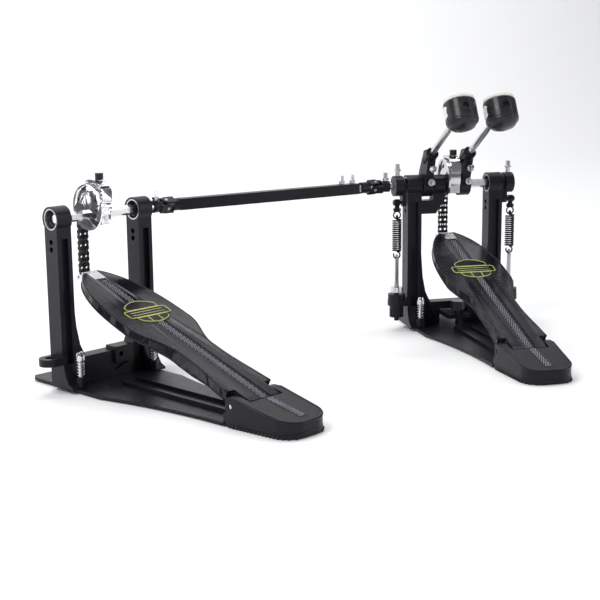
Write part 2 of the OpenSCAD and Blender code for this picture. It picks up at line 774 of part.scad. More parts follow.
// Helix of wire as one swept skin, with a hook leg up and down its axis
module coil_spring() {
    sides = 6;
    per_turn = 12;
    r = coil_r - wire_r;
    n = coil_turns * per_turn;
    rings = [for (i = [0:n]) let (a = 360 * i / per_turn, z = coil_bottom + (coil_top - coil_bottom) * i / n)
        [for (j = [0:sides - 1]) let (b = 360 * j / sides, q = r + wire_r * cos(b))
            [q * cos(a), q * sin(a), z + wire_r * sin(b)]]];
    points = [for (ring = rings) each ring];
    skin = [for (i = [0:n - 1]) for (j = [0:sides - 1]) let (k = (j + 1) % sides)
        each [
            [i * sides + j, i * sides + k, (i + 1) * sides + k],
            [i * sides + j, (i + 1) * sides + k, (i + 1) * sides + j]
        ]];
    caps = [[for (j = [sides - 1:-1:0]) j], [for (j = [0:sides - 1]) n * sides + j]];
    polyhedron(points, concat(skin, caps), convexity = 10);
}

module spring(side) {
    color("#151517") translate([side * spring_x, pivot_y, 0]) coil_spring();
}

module adjuster() {
    // cup, threaded rod with a hooked end, lock nut and thumb nut
    translate([spring_x, lug_y, 0]) {
        difference() {
            union() {
                translate([0, 0, lug_z[1]]) cylinder(h = 7, r = lug_r - 0.4);
                translate([0, 0, lug_z[0]]) cylinder(h = 9, r = lug_hole_r - run_gap);
            }
            translate([0, 0, 20]) cylinder(h = 60, r = 2.9);
        }
        difference() {
            translate([0, 0, 17]) cylinder(h = 14.5, r = 9);
            translate([0, 0, 10]) cylinder(h = 60, r = 2.9);
            for (a = [0:30:330]) rotate([0, 0, a]) translate([9.6, 0, 15]) cylinder(h = 13, r = 1.4);
        }
        difference() {
            translate([0, 0, 49.5]) cylinder(h = 6.5, r = 8);
            translate([0, 0, 20]) cylinder(h = 60, r = 2.9);
        }
        translate([0, 0, 12]) cylinder(h = 50, r = 2.9);
        translate([-2, -2, 60]) cube([4, 4, spring_z - 62]);
        translate([0, 0, spring_z - 1]) rotate([0, 90, 0])
            rotate_extrude() translate([3.2, 0]) circle(r = 1.1);
    }
}

// ---------- Master pedal only ----------

module centre_bracket() {
    depth = 15;
    left = -post_in;
    color("#1c1b20") difference() {
        union() {
            at_axle() bar_x(bracket_left, bracket_right, centre_bearing_r + 3.5);
            translate([0, depth / 2 - 1, 0]) rotate([90, 0, 0]) linear_extrude(depth) polygon([
                [left, axle_h - 36], [left, axle_h - 19], [bracket_left - 1, axle_h - 19],
                [bracket_left, axle_h - 8], [bracket_right, axle_h - 8], [bracket_right, axle_h - 18],
                [bracket_left + 3, axle_h - 36]
            ]);
        }
        at_axle() bar_x(bracket_left - 1, bracket_right + 1, centre_bearing_r);
    }
}

jaw_pivot_y = 20;
jaw_pivot_z = 17;
jaw_screw_y = -24;

module hoop_jaw() {
    color("#1a1a1c") difference() {
        union() {
            across(-15, 30) polygon([
                [jaw_screw_y - 8, 15], [jaw_screw_y - 8, 20], [jaw_pivot_y - 6, 22], [jaw_pivot_y + 8, 22],
                [plate_front - 18, 19], [plate_front - 2, 18], [plate_front - 2, 12], [plate_front - 14, 12],
                [jaw_pivot_y + 8, 14.5], [jaw_pivot_y - 6, 14.5]
            ]);
            translate([0, jaw_pivot_y, jaw_pivot_z]) bar_x(-18, 18, 4);
        }
        translate([0, jaw_screw_y, 0]) cylinder(h = 60, r = 3 + run_gap);
    }
}

module hoop_screw() {
    color("#1a1a1c") translate([0, jaw_screw_y, 0]) {
        translate([0, 0, plate_top + 0.4]) cylinder(h = 24, r = 3);
        translate([0, 0, 26]) difference() {
            cylinder(h = 11, r = 9);
            for (a = [0:45:315]) rotate([0, 0, a]) translate([10.2, 0, -1]) cylinder(h = 13, r = 2);
        }
    }
}

// ---------- Drive shaft ----------

module drive_tube() {
    color("#1b1a1e") on_shaft() difference() {
        union() {
            translate([tube_start, -tube_w / 2, -tube_w / 2]) cube([tube_end - tube_start, tube_w, tube_w]);
            yoke(yoke_phase(slave_phase, slave_bend), tube_start + 3);
        }
        translate([shaft_len - 130, -rod_w / 2 - slide_gap, -rod_w / 2 - slide_gap])
            cube([200, rod_w + 2 * slide_gap, rod_w + 2 * slide_gap]);
    }
}

module drive_tube_bolts() {
    color("silver") on_shaft() for (x = [-8, -24]) translate([tube_end + x, 0, tube_w / 2]) key_bolt(2);
}

module drive_rod() {
    color("silver") on_shaft() {
        translate([rod_start, -rod_w / 2, -rod_w / 2]) cube([shaft_len - 20 - rod_start, rod_w, rod_w]);
        translate([shaft_len, 0, 0]) mirror([1, 0, 0]) yoke(yoke_phase(master_phase, shaft_yaw), 22);
    }
}

// ---------- Nodes ----------

module master_sole() sole();
module master_base_plate() base_plate();
module master_heel_block() heel_block();
module master_heel_pin() heel_pin();
module master_posts() posts();

module master_crossbar() {
    ear = 4;
    crossbar(false);
    color("#19181c") for (s = [-1, 1]) difference() {
        translate([s > 0 ? 18.5 : -18.5 - ear, post_d / 2 - 3, plate_top]) cube([ear, 14, 20]);
        translate([0, jaw_pivot_y, jaw_pivot_z]) bar_x(-40, 40, 4.2);
    }
}

module master_bearings() {
    color("silver") {
        bearing_pair();
        bearing(bracket_left, centre_bearing_w, centre_bearing_r);
        bearing(bracket_left + centre_bearing_w + 1, centre_bearing_w, centre_bearing_r);
    }
}

module master_centre_bracket() centre_bracket();

module master_spring_adjusters() color("#3a3a3d") for (s = [0, 1]) mirror([s, 0, 0]) adjuster();

module master_spurs() spurs();
module master_footboard() footboard();
module master_tread() tread();
module master_toe_plate() toe_plate();
module master_chain() chain();
module master_chain_lead() chain_lead();
module master_chain_wrap() chain_wrap();
module master_cam() cam();
module right_hub() hub(right_hub_x);
module left_hub() hub(left_hub_x);
module right_hanger() color("#17171a") hanger();
module left_hanger() color("#17171a") mirror([1, 0, 0]) hanger();
module right_swivel() color("silver") swivel();
module left_swivel() color("silver") mirror([1, 0, 0]) swivel();
module right_spring() spring(1);
module left_spring() spring(-1);
module right_beater_shaft() beater_shaft(right_hub_x);
module left_beater_shaft() beater_shaft(left_hub_x);
module right_beater_head() beater_head(right_hub_x);
module left_beater_head() beater_head(left_hub_x);
module right_beater_felt() beater_felt(right_hub_x);
module left_beater_felt() beater_felt(left_hub_x);

module hub_bolts(x0) {
    // one bolt closes the clamp, the other holds the hub to the axle
    translate([x0 + hub_w / 2 + 1.5, -clamp_back - 4.9, axle_h + bolt_rise]) rotate([72, 0, 0]) key_bolt(1.5);
    translate([x0 + hub_w / 2 + 1.5, -hub_r - 0.75, axle_h + 5]) rotate([90, 0, 0]) key_bolt(1.5);
}

module right_key_bolts() {
    color("silver") {
        hub_bolts(right_hub_x);
        translate([hanger_x + disc_w / 2 + 2, 0, axle_h + disc_r]) key_bolt(6);
        cam_screw();
    }
}

module left_key_bolts() {
    color("silver") {
        hub_bolts(left_hub_x);
        translate([-hanger_x - disc_w / 2 - 2, 0, axle_h + disc_r]) key_bolt(6);
        translate([-master_uj + 15, 0, axle_h + 7]) key_bolt(1.5);
    }
}

module slave_key_bolts() {
    color("silver") on_slave() {
        translate([slave_uj - 14.5, 0, axle_h + 7]) key_bolt(1.5);
        cam_screw();
        // black stop screw on the axle, beside the cam
        translate([cam_left - 4, -hex_af / 2, axle_h]) rotate([90, 0, 0]) cylinder(h = 9, r = 2.9);
    }
}

module slave_base_plate() on_slave() base_plate();
module slave_sole() on_slave() sole();
module slave_heel_block() on_slave() heel_block();
module slave_heel_pin() on_slave() heel_pin();
module slave_posts() on_slave() posts();
module slave_crossbar() on_slave() crossbar(true);
module slave_bearings() color("silver") on_slave() bearing_pair();
module slave_spurs() on_slave() spurs();
module slave_footboard() on_slave() footboard();
module slave_tread() on_slave() tread();
module slave_toe_plate() on_slave() toe_plate();
module slave_chain() on_slave() chain();
module slave_chain_lead() on_slave() chain_lead();
module slave_chain_wrap() on_slave() chain_wrap();
module slave_cam() on_slave() cam();
module slave_axle_node() on_slave() slave_axle();
module slave_cross() on_slave() translate([slave_uj, 0, axle_h]) cross_piece(slave_phase, slave_bend);
module master_cross() translate([-master_uj, 0, axle_h]) cross_piece(master_phase, shaft_yaw);

// ---------- Drawing ----------

master_base_plate();
master_sole();
master_heel_block();
master_heel_pin();
master_posts();
master_crossbar();
master_bearings();
master_centre_bracket();
master_spring_adjusters();
master_spurs();
hoop_jaw();
hoop_screw();
master_footboard();
master_tread();
master_toe_plate();
master_chain();
master_chain_lead();
master_chain_wrap();
master_axle();
master_cam();
right_hub();
right_hanger();
right_key_bolts();
right_swivel();
right_spring();
right_beater_shaft();
right_beater_head();
right_beater_felt();
left_axle();
left_hub();
left_hanger();
left_key_bolts();
left_swivel();
left_spring();
left_beater_shaft();
left_beater_head();
left_beater_felt();
slave_base_plate();
slave_sole();
slave_heel_block();
slave_heel_pin();
slave_posts();
slave_crossbar();
slave_bearings();
slave_spurs();
slave_footboard();
slave_tread();
slave_toe_plate();
slave_chain();
slave_chain_lead();
slave_chain_wrap();
slave_axle_node();  // slave_axle
slave_cam();
slave_key_bolts();
drive_tube();
drive_tube_bolts();
drive_rod();
slave_cross();
master_cross();
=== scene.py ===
"""Looks for the double bass drum pedal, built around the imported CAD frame. Metres, +Z up."""

import json
import math

import bmesh
import bpy
from mathutils import Matrix, Vector
from mathutils import noise as mnoise


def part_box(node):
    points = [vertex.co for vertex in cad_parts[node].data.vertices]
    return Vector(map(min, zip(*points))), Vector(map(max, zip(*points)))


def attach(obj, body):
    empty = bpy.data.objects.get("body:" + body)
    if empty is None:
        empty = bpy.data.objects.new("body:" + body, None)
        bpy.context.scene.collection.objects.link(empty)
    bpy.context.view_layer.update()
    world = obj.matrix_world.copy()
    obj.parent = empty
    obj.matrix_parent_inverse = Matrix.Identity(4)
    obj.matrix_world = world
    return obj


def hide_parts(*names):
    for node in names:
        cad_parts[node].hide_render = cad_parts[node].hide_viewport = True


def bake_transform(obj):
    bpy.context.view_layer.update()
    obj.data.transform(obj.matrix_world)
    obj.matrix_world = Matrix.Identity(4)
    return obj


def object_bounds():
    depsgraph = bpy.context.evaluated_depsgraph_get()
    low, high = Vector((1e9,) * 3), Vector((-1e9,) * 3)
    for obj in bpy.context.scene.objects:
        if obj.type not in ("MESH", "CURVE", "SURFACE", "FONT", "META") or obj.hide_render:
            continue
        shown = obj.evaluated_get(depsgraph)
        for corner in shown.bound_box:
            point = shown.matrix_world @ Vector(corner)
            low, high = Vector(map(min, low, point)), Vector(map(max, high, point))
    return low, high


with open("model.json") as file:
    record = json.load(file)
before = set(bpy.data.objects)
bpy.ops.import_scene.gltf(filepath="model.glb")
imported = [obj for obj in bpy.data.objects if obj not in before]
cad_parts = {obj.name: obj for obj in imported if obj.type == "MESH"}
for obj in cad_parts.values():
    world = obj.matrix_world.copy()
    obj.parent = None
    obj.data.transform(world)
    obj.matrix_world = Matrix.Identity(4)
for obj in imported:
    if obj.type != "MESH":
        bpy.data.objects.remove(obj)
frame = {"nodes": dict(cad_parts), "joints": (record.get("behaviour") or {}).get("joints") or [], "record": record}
cad_low, cad_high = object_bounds()

MM = 0.001
NODES = frame["nodes"]
JOINTS = {j["name"]: j for j in frame["joints"]}


def mm(*values):
    """Millimetres to a vector in metres."""
    return Vector(values) * MM


# ---------------------------------------------------------------- materials


class Shader:
    """A Principled material with the few helpers that the materials below share."""

    def __init__(self, name, colour, roughness, metallic=0.0):
        self.material = bpy.data.materials.new(name)
        self.material.use_nodes = True
        self.nodes = self.material.node_tree.nodes
        self.links = self.material.node_tree.links
        self.bsdf = self.nodes["Principled BSDF"]
        self.bsdf.inputs["Base Color"].default_value = (*colour, 1)
        self.bsdf.inputs["Roughness"].default_value = roughness
        self.bsdf.inputs["Metallic"].default_value = metallic
        self.coords = self.nodes.new("ShaderNodeTexCoord").outputs["Object"]
        self.height = None

    def set(self, **sockets):
        for key, value in sockets.items():
            self.bsdf.inputs[key.replace("_", " ").title().replace("Ior", "IOR")].default_value = value

    def stretched(self, scale):
        mapping = self.nodes.new("ShaderNodeMapping")
        mapping.inputs["Scale"].default_value = scale
        self.links.new(self.coords, mapping.inputs["Vector"])
        return mapping.outputs["Vector"]

    def noise(self, scale, detail=4.0, rough=0.55, stretch=None):
        tex = self.nodes.new("ShaderNodeTexNoise")
        tex.inputs["Scale"].default_value = scale
        tex.inputs["Detail"].default_value = detail
        tex.inputs["Roughness"].default_value = rough
        self.links.new(self.stretched(stretch) if stretch else self.coords, tex.inputs["Vector"])
        return tex.outputs["Fac"]

    def cells(self, scale):
        tex = self.nodes.new("ShaderNodeTexVoronoi")
        tex.inputs["Scale"].default_value = scale
        self.links.new(self.coords, tex.inputs["Vector"])
        return tex.outputs["Distance"]

    def remap(self, value, low, high, start=0.3, stop=0.7):
        node = self.nodes.new("ShaderNodeMapRange")
        node.inputs["From Min"].default_value = start
        node.inputs["From Max"].default_value = stop
        node.inputs["To Min"].default_value = low
        node.inputs["To Max"].default_value = high
        self.links.new(value, node.inputs["Value"])
        return node.outputs["Result"]

    def mix(self, factor, first, second):
        node = self.nodes.new("ShaderNodeMix")
        node.data_type = "RGBA"
        for socket, value in ((node.inputs["A"], first), (node.inputs["B"], second)):
            if isinstance(value, tuple):
                socket.default_value = (*value, 1)
            else:
                self.links.new(value, socket)
        self.links.new(factor, node.inputs["Factor"])
        return node.outputs["Result"]

    def colour(self, output):
        self.links.new(output, self.bsdf.inputs["Base Color"])

    def rough(self, output):
        self.links.new(output, self.bsdf.inputs["Roughness"])

    def bump(self, height, strength, distance):
        node = self.nodes.new("ShaderNodeBump")
        node.inputs["Strength"].default_value = strength
        node.inputs["Distance"].default_value = distance
        self.links.new(height, node.inputs["Height"])
        if self.height is not None:
            self.links.new(self.height, node.inputs["Normal"])
        self.height = node.outputs["Normal"]
        self.links.new(self.height, self.bsdf.inputs["Normal"])


def powder_coat(name, dark, light, roughness, peel, shine):
    """Satin powder coat: fine orange peel and slight clouding."""
    s = Shader(name, dark, roughness)
    clouds = s.noise(18.0, 3.0)
    s.colour(s.mix(s.remap(clouds, 0.0, 1.0), dark, light))
    s.rough(s.remap(s.noise(140.0, 3.0), roughness - 0.03, roughness + 0.05))
    s.bump(s.noise(1500.0, 2.0), peel, 0.0001)
    s.set(specular_ior_level=shine)
    return s.material


def chrome(name, colour, roughness):
    """Polished plate with finger marks, duller clouds and a faint ripple."""
    s = Shader(name, colour, roughness, 1.0)
    s.rough(s.remap(s.noise(60.0, 5.0, 0.65), roughness - 0.03, roughness + 0.08, 0.35, 0.75))
    dark = tuple(c * 0.8 for c in colour)
    s.colour(s.mix(s.remap(s.noise(35.0, 3.0), 0.0, 0.5, 0.45, 0.75), colour, dark))
    s.bump(s.noise(300.0, 1.0), 0.012, 0.0001)
    return s.material


def ground_steel(name):
    """Bare steel with fine grinding lines."""
    s = Shader(name, (0.42, 0.42, 0.43), 0.3, 1.0)
    lines = s.noise(900.0, 2.0, stretch=(1.0, 6.0, 6.0))
    s.rough(s.remap(lines, 0.2, 0.42))
    s.colour(s.mix(s.remap(s.noise(80.0), 0.0, 0.6), (0.5, 0.5, 0.51), (0.24, 0.24, 0.25)))
    s.bump(lines, 0.08, 0.0001)
    return s.material


def oiled_steel(name, dark, light, roughness):
    """Blackened steel with an oily sheen."""
    s = Shader(name, dark, roughness, 0.85)
    s.colour(s.mix(s.remap(s.noise(220.0), 0.0, 1.0), dark, light))
    s.rough(s.remap(s.noise(400.0), roughness - 0.08, roughness + 0.14))
    s.bump(s.noise(1800.0, 2.0), 0.12, 0.0001)
    return s.material


def rubber(name, dark, light, roughness=0.78):
    """Matt rubber with dust in its grain."""
    s = Shader(name, dark, roughness)
    dust = s.remap(s.noise(45.0, 5.0), 0.0, 1.0, 0.45, 0.75)
    s.colour(s.mix(dust, dark, light))
    s.rough(s.remap(s.noise(300.0), roughness - 0.1, roughness + 0.12))
    s.bump(s.noise(2200.0, 3.0), 0.3, 0.00015)
    s.set(specular_ior_level=0.35)
    return s.material


def gloss_plastic(name):
    """Moulded black plastic with a thin gloss."""
    s = Shader(name, (0.014, 0.014, 0.016), 0.26)
    s.colour(s.mix(s.remap(s.noise(30.0), 0.0, 1.0), (0.011, 0.011, 0.013), (0.024, 0.023, 0.027)))
    s.rough(s.remap(s.noise(120.0, 5.0), 0.2, 0.38))
    s.bump(s.noise(700.0, 3.0), 0.05, 0.0002)
    s.set(specular_ior_level=0.3, coat_weight=0.08, coat_roughness=0.15)
    return s.material


def felt(name):
    """Pressed wool: matted fibres, faint grey flecks, soft sheen."""
    s = Shader(name, (0.83, 0.81, 0.76), 0.95)
    fibres = s.noise(900.0, 6.0, 0.75)
    flecks = s.remap(s.cells(420.0), 1.0, 0.0, 0.05, 0.25)
    tone = s.mix(s.remap(fibres, 0.0, 1.0), (0.9, 0.885, 0.84), (0.66, 0.64, 0.59))
    s.colour(s.mix(s.remap(s.noise(120.0), 0.0, 0.35), tone, (0.5, 0.49, 0.46)))
    s.bump(fibres, 0.55, 0.0006)
    s.bump(flecks, 0.2, 0.0003)
    s.set(sheen_weight=0.35, sheen_roughness=0.5, specular_ior_level=0.1)
    return s.material


def enamel(name, colour, light):
    """Flat paint with a slight change of tone."""
    s = Shader(name, colour, 0.4)
    s.colour(s.mix(s.remap(s.noise(300.0), 0.0, 1.0), colour, light))
    s.rough(s.remap(s.noise(500.0), 0.3, 0.5))
    s.bump(s.noise(1500.0), 0.08, 0.0001)
    return s.material


COAT_DARK = (0.0055, 0.0048, 0.0085)
POST_COAT_LIGHT = (0.0105, 0.0095, 0.0155)
BOARD_COAT_LIGHT = (0.0095, 0.0086, 0.0145)

MATERIALS = {
    "black_coat": powder_coat("satin_black_coat", COAT_DARK, POST_COAT_LIGHT, 0.36, 0.12, 0.22),
    "board_coat": powder_coat("semi_gloss_black", COAT_DARK, BOARD_COAT_LIGHT, 0.24, 0.02, 0.24),
    "black_plastic": gloss_plastic("gloss_black_plastic"),
    "sole_rubber": rubber("sole_rubber", (0.012, 0.012, 0.013), (0.03, 0.029, 0.028)),
    "tread_rubber": rubber("tread_rubber", (0.014, 0.0135, 0.017), (0.026, 0.025, 0.03), 0.62),
    "chrome": chrome("chrome_plate", (0.66, 0.66, 0.68), 0.2),
    "bearing_steel": ground_steel("bearing_steel"),
    "chain_steel": oiled_steel("chain_steel", (0.016, 0.016, 0.017), (0.04, 0.04, 0.042), 0.34),
    "spring_steel": oiled_steel("spring_steel", (0.013, 0.013, 0.014), (0.028, 0.028, 0.03), 0.3),
    "felt": felt("white_felt"),
}
# painted shade: a dark material for the bearings' faces round the axle, standing in for the shade in the recess
BORE_PAINTED_SHADE = oiled_steel("bearing_bore_painted_shade", (0.01, 0.01, 0.011), (0.02, 0.02, 0.021), 0.45)
TREAD_STUD = rubber("tread_studs", (0.36, 0.35, 0.43), (0.5, 0.49, 0.58), 0.5)
BADGE_LINE = enamel("badge_line", (0.5, 0.55, 0.13), (0.64, 0.68, 0.24))
LABEL = enamel("white_label", (0.72, 0.72, 0.7), (0.8, 0.8, 0.79))


# ---------------------------------------------------------------- mesh tools

WELD_GAP = 0.002 * MM
FLAT_ANGLE = math.radians(0.4)
SAME_PLACE = 1e-7


def make_object(name, bm, slot=None, material=None, smooth=True, body=None, replaced=()):
    """Turns a bmesh into a piece with a material, riding on a body."""
    bmesh.ops.recalc_face_normals(bm, faces=bm.faces)
    mesh = bpy.data.meshes.new(name)
    bm.to_mesh(mesh)
    bm.free()
    for poly in mesh.polygons:
        poly.use_smooth = smooth
    obj = bpy.data.objects.new(name, mesh)
    bpy.context.scene.collection.objects.link(obj)
    mesh.materials.append(material or MATERIALS[slot])
    if body:
        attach(obj, body)
    if replaced:
        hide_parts(*replaced)
    return obj


def soften(obj, width, angle=32.0, segments=2):
    """Rounds a hard-edged object's edges with modifiers, and evens its shading."""
    weld = obj.modifiers.new("weld", "WELD")
    weld.merge_threshold = WELD_GAP
    flat = obj.modifiers.new("flat", "DECIMATE")
    flat.decimate_type = "DISSOLVE"
    flat.angle_limit = FLAT_ANGLE
    bevel = obj.modifiers.new("edges", "BEVEL")
    bevel.width = width
    bevel.segments = segments
    bevel.limit_method = "ANGLE"
    bevel.angle_limit = math.radians(angle)
    bevel.use_clamp_overlap = True
    obj.modifiers.new("normals", "WEIGHTED_NORMAL").keep_sharp = True


def loft(bm, rings, close_ends=True, loop=False):
    """Skins a list of rings that have the same number of points."""
    made = [[bm.verts.new(p) for p in ring] for ring in rings]
    count = len(rings[0])
    pairs = list(zip(made, made[1:]))
    if loop:
        pairs.append((made[-1], made[0]))
    for a, b in pairs:
        for i in range(count):
            k = (i + 1) % count
            bm.faces.new((a[i], a[k], b[k], b[i]))
    if close_ends and not loop:
        bm.faces.new(reversed(made[0]))
        bm.faces.new(made[-1])


def tube(bm, path, radius, sides=10, loop=False, matrix=Matrix.Identity(4)):
    """Sweeps a round wire along a path with a frame carried from point to point."""
    rings, side = [], None
    count = len(path)
    for i, point in enumerate(path):
        ahead = path[(i + 1) % count] if loop or i + 1 < count else point
        behind = path[i - 1] if loop or i > 0 else point
        tangent = (ahead - behind).normalized()
        if side is None:
            side = tangent.orthogonal().normalized()
        side = (side - tangent * side.dot(tangent)).normalized()
        up = tangent.cross(side)
        angles = [2 * math.pi * k / sides for k in range(sides)]
        spokes = [(side * math.cos(a) + up * math.sin(a)) * radius for a in angles]
        rings.append([matrix @ (point + spoke) for spoke in spokes])
    loft(bm, rings, loop=loop)


def lathe(bm, profile, matrix, steps=32):
    """Turns a (radius, height) profile about the matrix's Z axis. Both its ends lie on the axis."""
    rings = []
    for k in range(steps):
        a = 2 * math.pi * k / steps
        rings.append([matrix @ Vector((r * math.cos(a), r * math.sin(a), h)) for r, h in profile])
    made = [[bm.verts.new(p) for p in ring] for ring in rings]
    for a, b in zip(made, made[1:] + made[:1]):
        for i in range(len(profile) - 1):
            bm.faces.new((a[i], b[i], b[i + 1], a[i + 1]))
    bmesh.ops.remove_doubles(bm, verts=[v for ring in made for v in ring], dist=SAME_PLACE)


def slab(bm, outline, matrix, low, high):
    """Extrudes a list of (x, y) points between two heights."""
    bottom = [bm.verts.new(matrix @ Vector((x, y, low))) for x, y in outline]
    top = [bm.verts.new(matrix @ Vector((x, y, high))) for x, y in outline]
    count = len(outline)
    for i in range(count):
        k = (i + 1) % count
        bm.faces.new((bottom[i], bottom[k], top[k], top[i]))
    bm.faces.new(reversed(bottom))
    bm.faces.new(top)


def arc_points(cx, cy, radius, start, stop, steps):
    """Points on an arc, angles in degrees."""
    angles = [math.radians(start + (stop - start) * i / steps) for i in range(steps + 1)]
    return [(cx + radius * math.cos(a), cy + radius * math.sin(a)) for a in angles]


def along(start, end, up=Vector((1, 0, 0))):
    """Matrix whose Z runs from start to end."""
    z = (end - start).normalized()
    y = z.cross(up).normalized()
    x = y.cross(z)
    m = Matrix((x, y, z)).transposed().to_4x4()
    m.translation = start
    return m


# ---------------------------------------------------------------- the two pedals

TREAD_T = 1.0 * MM
BOARD_START = mm(0, -3, 10)  # from the heel hinge to the start of the footboard's top face


class Pedal:
    """Places on one pedal, in its own frame, from the frame's joints."""

    def __init__(self, prefix):
        self.prefix = prefix
        drive = JOINTS[prefix + "_drive"]
        axis = Vector(drive["axis"])
        self.yaw = math.atan2(-axis.y, -axis.x)
        self.axle_h = drive["pos_m"][2]
        place = Matrix.Translation((drive["pos_m"][0], drive["pos_m"][1], 0))
        self.matrix = place @ Matrix.Rotation(self.yaw, 4, "Z")
        self.inverse = self.matrix.inverted()
        self.hinge = self.local(prefix + "_pedal")
        self.toe = self.local(prefix + "_chain_toe")
        self.bend = self.local(prefix + "_chain_bend")
        self.frame_body = prefix + "_frame"
        self.board_body = prefix + "_board"
        self.drive_body = prefix + "_drive"

    def local(self, joint):
        return self.inverse @ Vector(JOINTS[joint]["pos_m"])

    def span(self, node):
        """Lowest and highest corners of a node in the pedal's own frame."""
        points = [self.inverse @ v.co for v in NODES[node].data.vertices]
        low = Vector([min(p[i] for p in points) for i in range(3)])
        high = Vector([max(p[i] for p in points) for i in range(3)])
        return low, high

    def board(self):
        """Matrix of the footboard's top face: x across, y up the board, z out of it."""
        low, high = self.span(self.prefix + "_tread")
        tilt = math.degrees(math.atan2(high.z - low.z - TREAD_T, high.y - low.y))
        tilt = math.radians(round(tilt * 2) / 2)  # to the nearest half degree
        start = self.hinge + BOARD_START
        return self.matrix @ Matrix.Translation((0, start.y, start.z)) @ Matrix.Rotation(tilt, 4, "X")


PEDALS = [Pedal("master"), Pedal("slave")]


# ---------------------------------------------------------------- CAD nodes that stay


def node_slot(node):
    """Material slot of a CAD node, from the record."""
    for row in frame["record"]["subparts"]:
        if row["node"] == node:
            return row["material_slot"]
    return "black_coat"


# widths of the rounded edges in millimetres
EDGE_WIDTH = {
    "black_coat": 0.55,
    "board_coat": 0.8,
    "chrome": 0.3,
    "bearing_steel": 0.2,
    "black_plastic": 0.5,
    "sole_rubber": 0.4,
}
OTHER_EDGE = 0.3
# ends of the names of nodes that keep their CAD edges: those replaced below, and the soles
PLAIN_EDGES = ("_chain", "_chain_lead", "_chain_wrap", "_spring", "_felt", "_tread", "_sole")
# nodes that take another material than their slot's
LOOKS = {
    "right_swivel": "spring_steel",
    "left_swivel": "spring_steel",
    "master_cross": "bearing_steel",
    "slave_cross": "bearing_steel",
}
# radius of the painted shade round the axle in the bearings
BORE_SHADE_R = 9.4 * MM
SLEEVE_END = 1.5 * MM
HANGER_END = 3 * MM
ROD_YOKE_REACH = 24.5 * MM
DISC_LOW, DISC_HIGH = 37.3 * MM, 44.2 * MM  # above the foot of the spring adjusters


def paint(node, material, test):
    """Gives a second material to the faces of a CAD node whose middle passes the test."""
    obj = NODES[node]
    obj.data.materials.append(material)
    index = len(obj.data.materials) - 1
    for poly in obj.data.polygons:
        if test(poly.center):
            poly.material_index = index


def axle_distance(pedal, point):
    """Distance of a point from the axle's middle line."""
    local = pedal.inverse @ point
    return math.hypot(local.y, local.z - pedal.axle_h)


def paint_small_parts():
    black, plastic = MATERIALS["black_coat"], MATERIALS["black_plastic"]
    master, slave = PEDALS
    for pedal in PEDALS:
        # painted shade: the bearings' faces round the axle are coloured dark to stand for the shade in the recess
        # inside the bright sleeves
        paint(pedal.prefix + "_bearings", BORE_PAINTED_SHADE, lambda c: axle_distance(pedal, c) < BORE_SHADE_R)
    # the universal joints' yokes are black, the axles bright
    outer_face = slave.span("slave_bearings")[1].x + SLEEVE_END
    paint("slave_axle", black, lambda c: (slave.inverse @ c).x > outer_face)
    hanger_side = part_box("left_hanger")[0].x + HANGER_END
    paint("left_axle", black, lambda c: c.x < hanger_side)
    low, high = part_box("master_cross")
    pivot = (low + high) / 2
    paint("drive_rod", black, lambda c: (c - pivot).length < ROD_YOKE_REACH)
    # bright lock discs and grey rods on the spring adjusters
    low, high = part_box("master_spring_adjusters")
    disc_low, disc_high = low.z + DISC_LOW, low.z + DISC_HIGH
    paint("master_spring_adjusters", MATERIALS["chrome"], lambda c: disc_low < c.z < disc_high)
    paint("master_spring_adjusters", MATERIALS["bearing_steel"], lambda c: c.z > disc_high)
    # the cam's thumb screw and the stop screw beside it are black
    for pedal, node in ((master, "right_key_bolts"), (slave, "slave_key_bolts")):
        low, high = pedal.span(pedal.prefix + "_cam")
        above, beside = high.z - 0.6 * MM, low.x - 0.5 * MM
        inverse = pedal.inverse
        paint(node, plastic, lambda c: (inverse @ c).z > above and (inverse @ c).x < high.x)
        paint(node, plastic, lambda c: (inverse @ c).x < beside)


def finish_cad_nodes():
    """Materials and rounded edges of the nodes from the CAD."""
    for name, obj in NODES.items():
        slot = LOOKS.get(name, node_slot(name))
        obj.data.materials.clear()
        obj.data.materials.append(MATERIALS[slot])
        if name.endswith(PLAIN_EDGES):
            continue
        if "custom_normal" in obj.data.attributes:
            obj.data.attributes.remove(obj.data.attributes["custom_normal"])
        for poly in obj.data.polygons:
            poly.use_smooth = True
            poly.material_index = 0
        soften(obj, EDGE_WIDTH.get(slot, OTHER_EDGE) * MM)


# ---------------------------------------------------------------- chains

CHAIN_PITCH = 6.35 * MM
STRAND_LINKS = 13        # from the toe pin to the cam
LEAD_LINKS, CAM_LINKS = 2, 3
CAM_RISE = 10 * MM       # the cam arc's centre above the axle
CAM_DEPTH = 22 * MM      # and behind the cam's furthest point in +y
CHAIN_HALF = 6.4 * MM
PLATE_T = 0.75 * MM
PLATE_R = 2.6 * MM
PLATE_WAIST = 1.75 * MM
ROLLER_R = 1.65 * MM
PIN_R = 0.95 * MM
STRAND_X = 3.2 * MM      # each strand's distance from the chain's middle
INNER_X = 1.55 * MM      # inner plates' distance from their strand's middle
OUTER_X = 2.45 * MM


def plate_outline(length):
    """Figure-of-eight link plate along +x, its pins at 0 and length."""
    reach = math.degrees(math.asin(PLATE_WAIST / PLATE_R)) * 0.8
    right = arc_points(length, 0, PLATE_R, -180 + reach + 40, 180 - reach - 40, 10)
    left = arc_points(0, 0, PLATE_R, reach + 40, 360 - reach - 40, 10)
    top = [(length * 0.5, PLATE_WAIST)]
    bottom = [(length * 0.5, -PLATE_WAIST)]
    return right + top + left + bottom


